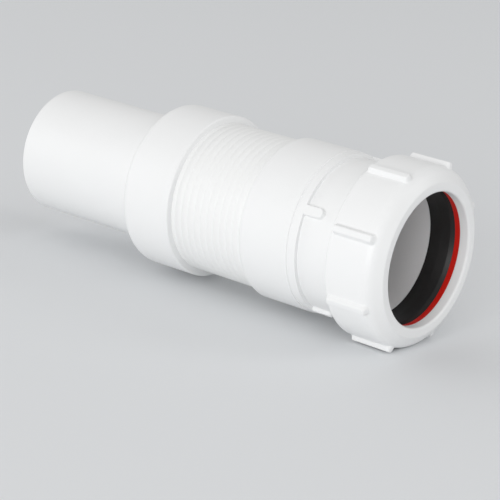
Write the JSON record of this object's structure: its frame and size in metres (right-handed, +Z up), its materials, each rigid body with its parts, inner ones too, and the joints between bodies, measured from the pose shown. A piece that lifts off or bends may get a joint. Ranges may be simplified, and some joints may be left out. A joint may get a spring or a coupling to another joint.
{
  "type": "flexible waste pipe",
  "caption": "Short flexible waste connector: plain tail with a collar, folded sleeve, and a compression socket with ribbed nut, slip washer and rubber cone seal.",
  "frame": {"origin": "on the surface the pipe lies on, below the middle of its length", "axes": "+X along the pipe from the plain tail to the nut's mouth, +Z up; the pipe lies on its side"},
  "size_m": [0.158, 0.0598, 0.0598],
  "materials": {
    "white_plastic": "white polypropylene, satin moulded skin",
    "sleeve_plastic": "soft white polypropylene, satin",
    "seal_rubber": "black moulded rubber",
    "washer_plastic": "red plastic, satin"
  },
  "bodies": {
    "socket": {"socket_body": "white_plastic", "cone_seal": "seal_rubber"},
    "sleeve": {"bellows": "sleeve_plastic"},
    "tail": {"tail_spigot": "white_plastic"},
    "washer": {"slip_washer": "washer_plastic"},
    "nut": {"compression_nut": "white_plastic"}
  },
  "joints": [
    {"name": "sleeve_bend", "type": "hinge", "parent": "socket", "child": "sleeve", "pos_m": [0.01578, 0, 0.0299], "axis": [0, 0, 1], "range_deg": [-15, 15], "deforming": ["bellows"]},
    {"name": "sleeve_stretch", "type": "slide", "parent": "sleeve", "child": "tail", "axis": [-1, 0, 0], "range_m": [0, 0.012], "deforming": ["bellows"]},
    {"name": "nut_travel", "type": "slide", "parent": "socket", "child": "washer", "axis": [1, 0, 0], "range_m": [0, 0.008]},
    {"name": "nut_turn", "type": "hinge", "parent": "washer", "child": "nut", "pos_m": [0.0693, 0, 0.0299], "axis": [1, 0, 0], "range_deg": [0, 720]}
  ],
  "couplings": [
    {"joint": "nut_turn", "follows": "nut_travel", "rad_per_m": 1570.8}
  ]
}
